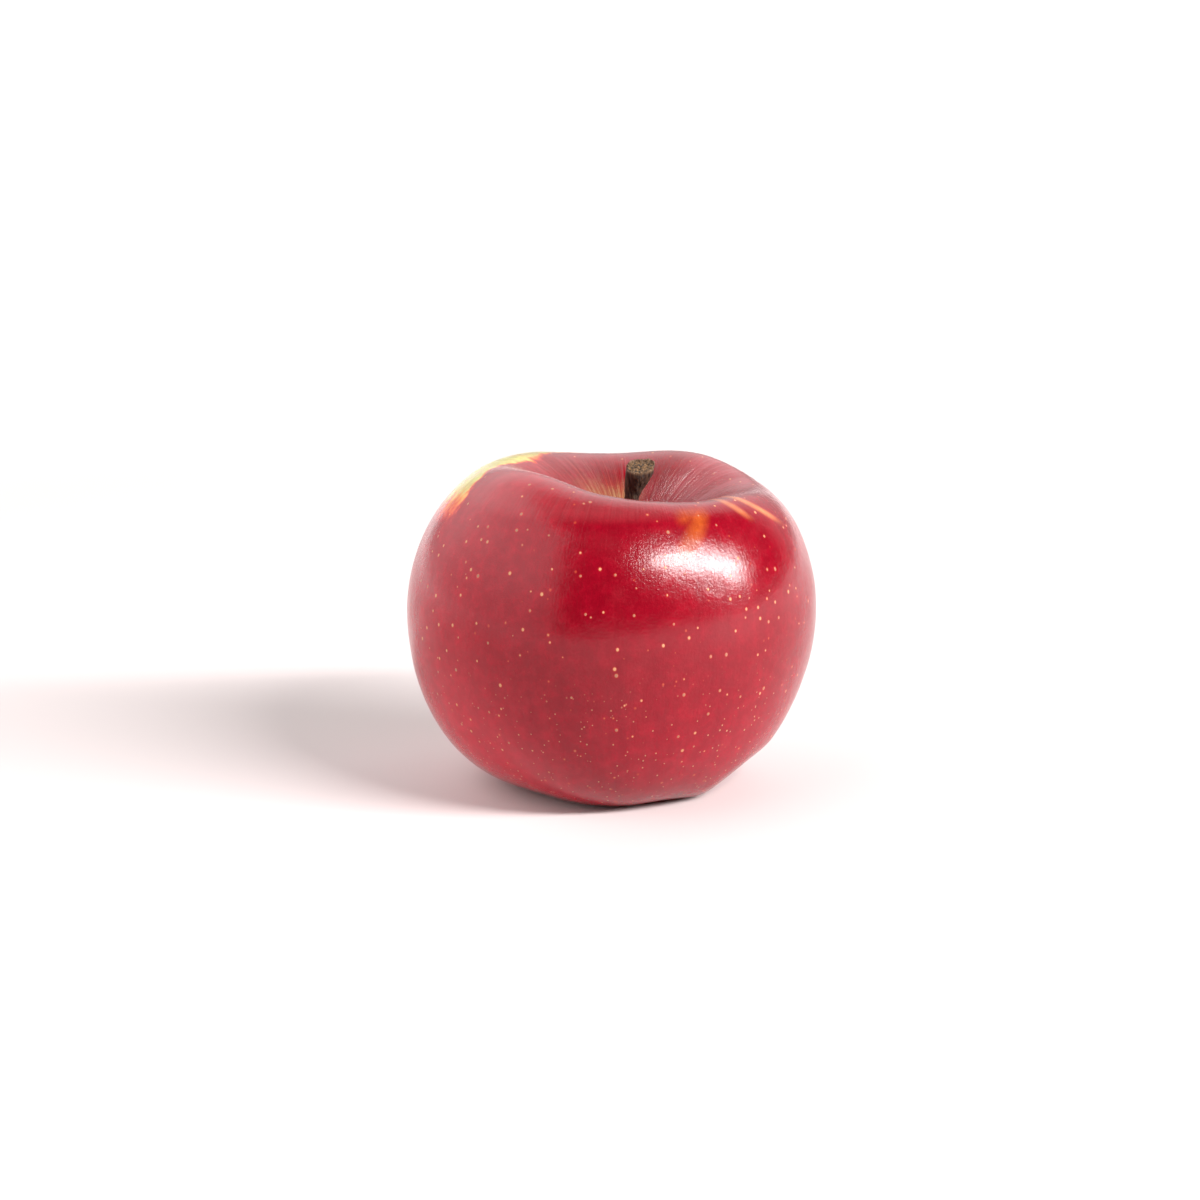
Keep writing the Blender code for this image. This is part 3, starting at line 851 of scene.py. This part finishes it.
bpy.ops.object.select_all(action="DESELECT")
bpy.ops.mesh.primitive_plane_add(size=table["size"], location=(0, 0, 0))
tableTop = bpy.context.object
tableTop.name = "table_top"
tableMaterial, tree, shader = newMaterial("table_white")
shader["Base Color"].default_value = (*table["colour"], 1)
shader["Roughness"].default_value = 0.7
shader["Specular IOR Level"].default_value = 0.2
shader["Emission Color"].default_value = (1, 1, 1, 1)
away = vectorCalc(tree, "LENGTH", tree.nodes.new("ShaderNodeTexCoord").outputs["Object"])
feed(tree, shader["Emission Strength"], softStep(tree, away, table["whiteFrom"], table["whiteAt"]))
tableTop.data.materials.append(tableMaterial)


# The studio: white all round at the back and the sides, open and dark in front and overhead,
# with one wide soft lamp at the front right

studio = {
    "white": 1.62,
    "leftWhite": 2.35,  # the wall on the left is nearer
    "leftWall": -85,
    "leftSoft": (0.40, 0.88),
    "foot": 1.15,  # the walls fade by this much down to the table
    "footHeight": 0.5,
    "openTo": 48.0,  # the way the dark front opens, in degrees from the front to the right
    "openHalf": 77.0,
    "openSoft": 0.07,
    "ceiling": 63,  # above this height in degrees it is dark all round
    "ceilingSoft": 0.05,
}


def aimOf(degreesRight, degreesUp):
    right, up = math.radians(degreesRight), math.radians(degreesUp)
    return Vector((math.sin(right) * math.cos(up), -math.cos(right) * math.cos(up), math.sin(up)))


world = bpy.data.worlds.new("studio")
bpy.context.scene.world = world
world.use_nodes = True
tree = world.node_tree
background = tree.nodes["Background"]
way = tree.nodes.new("ShaderNodeTexCoord").outputs["Generated"]
wayParts = tree.nodes.new("ShaderNodeSeparateXYZ")
feed(tree, wayParts.inputs[0], way)
flatWay = vectorCalc(tree, "NORMALIZE", vectorCalc(tree, "MULTIPLY", way, (1, 1, 0)))
toFront = vectorCalc(tree, "DOT_PRODUCT", flatWay, aimOf(studio["openTo"], 0))
openEdge = math.cos(math.radians(studio["openHalf"]))
ceilingEdge = math.sin(math.radians(studio["ceiling"]))
walls = softStep(tree, toFront, openEdge + studio["openSoft"], openEdge - studio["openSoft"])
underCeiling = softStep(tree, wayParts.outputs["Z"],
                        ceilingEdge + studio["ceilingSoft"], ceilingEdge - studio["ceilingSoft"])
walls = calc(tree, "MULTIPLY", walls, underCeiling)
toLeft = vectorCalc(tree, "DOT_PRODUCT", flatWay, aimOf(studio["leftWall"], 0))
leftness = softStep(tree, toLeft, *studio["leftSoft"])
footFade = softStep(tree, wayParts.outputs["Z"], studio["footHeight"], 0.0)
footFade = calc(tree, "MULTIPLY", footFade, studio["foot"])
level = calc(tree, "MULTIPLY_ADD", leftness, studio["leftWhite"] - studio["white"], studio["white"])
seen = calc(tree, "MULTIPLY", walls, calc(tree, "SUBTRACT", level, footFade))
# What shows behind the table is plain white.
lightPath = tree.nodes.new("ShaderNodeLightPath")
mixed = tree.nodes.new("ShaderNodeMix")
feed(tree, mixed.inputs["Factor"], lightPath.outputs["Is Camera Ray"])
feed(tree, mixed.inputs["A"], seen)
mixed.inputs["B"].default_value = 1.0
background.inputs["Color"].default_value = (1, 1, 1, 1)
feed(tree, background.inputs["Strength"], mixed.outputs[0])

keyLamp = {
    "right": 61.5,
    "up": 30,
    "turn": -38,
    "distance": 1.5,
    "aimHeight": 0.04,
    "width": 1.4,
    "height": 0.22,
    "power": 62,
}

# A wide soft fill from the left, too broad and dull to show in the gloss
fillLamp = {
    "right": -82,
    "up": 10,
    "turn": 0,
    "distance": 1.0,
    "aimHeight": 0.03,
    "width": 0.9,
    "height": 0.9,
    "power": 3,
}


def addLamp(name, values):
    toLamp = aimOf(values["right"], values["up"])
    turn = Quaternion((0, 0, 1), math.radians(values["turn"]))
    bpy.ops.object.select_all(action="DESELECT")
    place = toLamp * values["distance"] + Vector((0, 0, values["aimHeight"]))
    bpy.ops.object.light_add(type="AREA", location=place,
                             rotation=(toLamp.to_track_quat("Z", "Y") @ turn).to_euler())
    lamp = bpy.context.object
    lamp.name = name
    lamp.data.shape = "RECTANGLE"
    lamp.data.size = values["width"]
    lamp.data.size_y = values["height"]
    lamp.data.energy = values["power"]
    lamp.visible_camera = False
    return lamp


addLamp("key_lamp", keyLamp)
addLamp("fill_lamp", fillLamp).visible_glossy = False
print("studio lit")


# The camera, a little above the apple and straight in front

camera = {
    "aim": (-0.0023, 0.0019, 0.0358),
    "distance": 0.75,
    "down": 14.457,  # degrees
    "lens": 114.75,
    "sensor": 36,
}

down = math.radians(camera["down"])
bpy.ops.object.camera_add(
    location=Vector(camera["aim"]) + camera["distance"] * Vector((0, -math.cos(down), math.sin(down))),
    rotation=(math.pi / 2 - down, 0, 0))
eye = bpy.context.object
eye.name = "camera"
eye.data.sensor_width = camera["sensor"]
eye.data.lens = camera["lens"]
bpy.context.scene.camera = eye
bpy.context.scene.view_settings.view_transform = "Standard"
print("camera set")
